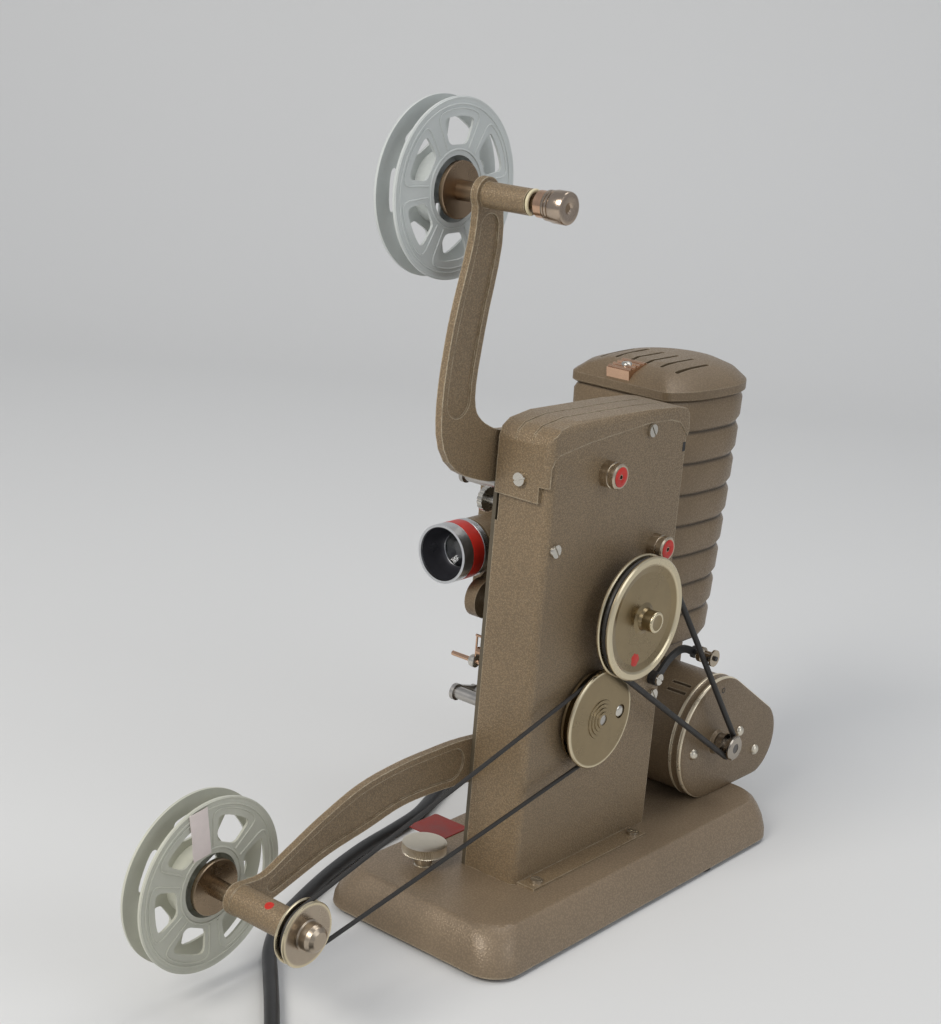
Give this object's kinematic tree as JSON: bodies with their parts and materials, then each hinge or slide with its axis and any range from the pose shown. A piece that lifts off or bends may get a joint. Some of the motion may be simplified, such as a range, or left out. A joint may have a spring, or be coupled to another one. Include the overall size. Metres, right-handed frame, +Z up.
{
  "type": "movie projector",
  "caption": "Table-top 8 mm movie projector with a ribbed lamp house, belt-driven pulleys, a side lens and reels on two curved arms.",
  "frame": {"origin": "on the table plane, on the base's centre line, about below the main pulley shaft", "axes": "+Z up, +X towards the pulley side, -Y the way the lens looks"},
  "size_m": [0.2585, 0.482, 0.367],
  "materials": {
    "column_enamel": "hammered olive-bronze enamel",
    "base_enamel": "satin brown enamel",
    "lamp_enamel": "satin brown enamel",
    "pulley_metal": "satin champagne",
    "nickel": "polished",
    "steel": "satin",
    "copper": "polished",
    "gear_brass": "satin",
    "belt_rubber": "matt",
    "foot_rubber": "matt",
    "cord_rubber": "matt",
    "reel_grey": "satin grey",
    "reel_cream": "satin grey, yellowed",
    "lens_metal": "satin",
    "clear_glass": "clear",
    "black_metal": "matt black",
    "black_plastic": "matt",
    "porcelain": "glossy ceramic",
    "core_iron": "laminated core",
    "inner_plate": "satin"
  },
  "bodies": {
    "chassis": {"base_casting": "base_enamel", "base_plate": "black_metal", "rubber_feet": "foot_rubber", "mechanism_plate": "inner_plate", "fixed_studs": "steel", "column_cover": "column_enamel", "top_cap": "column_enamel", "cover_screws": "nickel", "bearing_caps": "nickel", "upper_arm": "column_enamel", "lower_arm": "column_enamel", "drive_belt": "belt_rubber", "takeup_belt": "belt_rubber", "gate_block": "steel", "film_guide": "copper", "motor_can": "lamp_enamel", "motor_end_bell": "lamp_enamel", "stator": "core_iron", "lamp_house": "lamp_enamel", "air_duct": "lamp_enamel", "lamp_socket": "porcelain", "lamp_bulb": "clear_glass", "condenser": "black_metal", "switch_body": "black_plastic", "strain_relief": "cord_rubber", "power_cord": "cord_rubber", "cord_coil": "cord_rubber", "mains_plug": "black_plastic"},
    "motor_rotor": {"armature": "core_iron", "motor_pulley": "nickel"},
    "main_drive": {"main_shaft": "steel", "main_pulley": "pulley_metal"},
    "shutter": {"shutter_shaft": "steel", "shutter_drum": "black_metal"},
    "lower_reduction": {"lower_gear": "gear_brass"},
    "lower_drive": {"lower_shaft": "steel", "lower_sprocket": "steel", "takeup_drive_pulley": "pulley_metal"},
    "upper_reduction": {"upper_gear": "gear_brass"},
    "upper_drive": {"upper_shaft": "steel", "upper_sprocket": "steel"},
    "takeup": {"takeup_spindle": "pulley_metal", "takeup_pulley": "nickel"},
    "takeup_reel_body": {"takeup_reel": "reel_cream"},
    "supply": {"supply_spindle": "pulley_metal", "supply_collar": "copper"},
    "supply_reel_body": {"supply_reel": "reel_grey"},
    "claw_body": {"claw": "steel"},
    "lens_gate": {"lens_carrier": "lamp_enamel"},
    "lens": {"lens_barrel": "lens_metal", "lens_elements": "clear_glass"},
    "framing": {"framing_wheel": "nickel"},
    "upper_keeper_body": {"upper_keeper": "steel"},
    "lower_keeper_body": {"lower_keeper": "steel"},
    "tightener": {"idler_arm": "black_metal"},
    "tightener_roller": {"idler_roller": "copper"},
    "lamp_lid": {"lamp_cap": "lamp_enamel", "cap_clip": "copper"},
    "tilt_screw": {"tilt_knob": "nickel"},
    "switch": {"switch_lever": "nickel"}
  },
  "joints": [
    {"name": "motor_turn", "type": "hinge", "parent": "chassis", "child": "motor_rotor", "pos_m": [0, 0.093, 0.05], "axis": [1, 0, 0], "continuous": true},
    {"name": "main_pulley_turn", "type": "hinge", "parent": "chassis", "child": "main_drive", "pos_m": [0, -0.0026, 0.14], "axis": [1, 0, 0], "continuous": true},
    {"name": "shutter_turn", "type": "hinge", "parent": "chassis", "child": "shutter", "pos_m": [0, 0.021, 0.167], "axis": [1, 0, 0], "continuous": true},
    {"name": "lower_reduction_turn", "type": "hinge", "parent": "chassis", "child": "lower_reduction", "pos_m": [0, -0.00237, 0.1148], "axis": [1, 0, 0], "continuous": true},
    {"name": "lower_sprocket_turn", "type": "hinge", "parent": "chassis", "child": "lower_drive", "pos_m": [0, -0.0186, 0.0926], "axis": [1, 0, 0], "continuous": true},
    {"name": "upper_reduction_turn", "type": "hinge", "parent": "chassis", "child": "upper_reduction", "pos_m": [0, -0.00417, 0.18644], "axis": [1, 0, 0], "continuous": true},
    {"name": "upper_sprocket_turn", "type": "hinge", "parent": "chassis", "child": "upper_drive", "pos_m": [0, -0.0236, 0.2085], "axis": [1, 0, 0], "continuous": true},
    {"name": "takeup_turn", "type": "hinge", "parent": "chassis", "child": "takeup", "pos_m": [0, -0.2054, 0.0508], "axis": [1, 0, 0], "continuous": true},
    {"name": "takeup_reel_off", "type": "slide", "parent": "takeup", "child": "takeup_reel_body", "axis": [-1, 0, 0], "range_m": [0, 0.02]},
    {"name": "supply_turn", "type": "hinge", "parent": "chassis", "child": "supply", "pos_m": [0, -0.0845, 0.329], "axis": [1, 0, 0], "continuous": true},
    {"name": "supply_reel_off", "type": "slide", "parent": "supply", "child": "supply_reel_body", "axis": [-1, 0, 0], "range_m": [0, 0.02]},
    {"name": "claw_stroke", "type": "slide", "parent": "chassis", "child": "claw_body", "axis": [0, 0, 1], "range_m": [-0.0019, 0.0019]},
    {"name": "lens_gate_open", "type": "hinge", "parent": "chassis", "child": "lens_gate", "pos_m": [0, -0.051, 0.1445], "axis": [1, 0, 0], "range_deg": [0, 17]},
    {"name": "lens_focus", "type": "slide", "parent": "lens_gate", "child": "lens", "axis": [0, -1, 0], "range_m": [-0.001, 0.005]},
    {"name": "framing_turn", "type": "hinge", "parent": "chassis", "child": "framing", "pos_m": [0, -0.0592, 0.1936], "axis": [1, 0, 0], "continuous": true},
    {"name": "upper_keeper_open", "type": "hinge", "parent": "chassis", "child": "upper_keeper_body", "pos_m": [0, -0.046, 0.1975], "axis": [1, 0, 0], "range_deg": [-35, 0], "stiffness_Nm_per_rad": 0.02, "springref_deg": 17.19},
    {"name": "lower_keeper_open", "type": "hinge", "parent": "chassis", "child": "lower_keeper_body", "pos_m": [0, -0.04, 0.09], "axis": [1, 0, 0], "range_deg": [-35, 0], "stiffness_Nm_per_rad": 0.02, "springref_deg": 17.19},
    {"name": "tightener_swing", "type": "hinge", "parent": "chassis", "child": "tightener", "pos_m": [0, 0.0315, 0.099], "axis": [1, 0, 0], "range_deg": [0, 25], "stiffness_Nm_per_rad": 0.05, "springref_deg": -17.19},
    {"name": "tightener_roller_turn", "type": "hinge", "parent": "tightener", "child": "tightener_roller", "pos_m": [0, 0.06312, 0.10539], "axis": [1, 0, 0], "continuous": true},
    {"name": "lamp_cap_lift", "type": "slide", "parent": "chassis", "child": "lamp_lid", "axis": [0, 0, 1], "range_m": [0, 0.03]},
    {"name": "tilt_screw_down", "type": "slide", "parent": "chassis", "child": "tilt_screw", "axis": [0, 0, -1], "range_m": [0, 0.004]},
    {"name": "switch_throw", "type": "hinge", "parent": "chassis", "child": "switch", "pos_m": [-0.033, -0.005, 0.014], "axis": [1, 0, 0], "range_deg": [-24, 0]}
  ],
  "couplings": [
    {"joint": "main_pulley_turn", "follows": "motor_turn", "ratio": 0.20518},
    {"joint": "shutter_turn", "follows": "motor_turn", "ratio": -0.30776},
    {"joint": "lower_reduction_turn", "follows": "motor_turn", "ratio": -0.068392},
    {"joint": "lower_sprocket_turn", "follows": "motor_turn", "ratio": 0.025647},
    {"joint": "upper_reduction_turn", "follows": "motor_turn", "ratio": 0.076941},
    {"joint": "upper_sprocket_turn", "follows": "motor_turn", "ratio": -0.025647},
    {"joint": "takeup_turn", "follows": "motor_turn", "ratio": 0.04441}
  ]
}
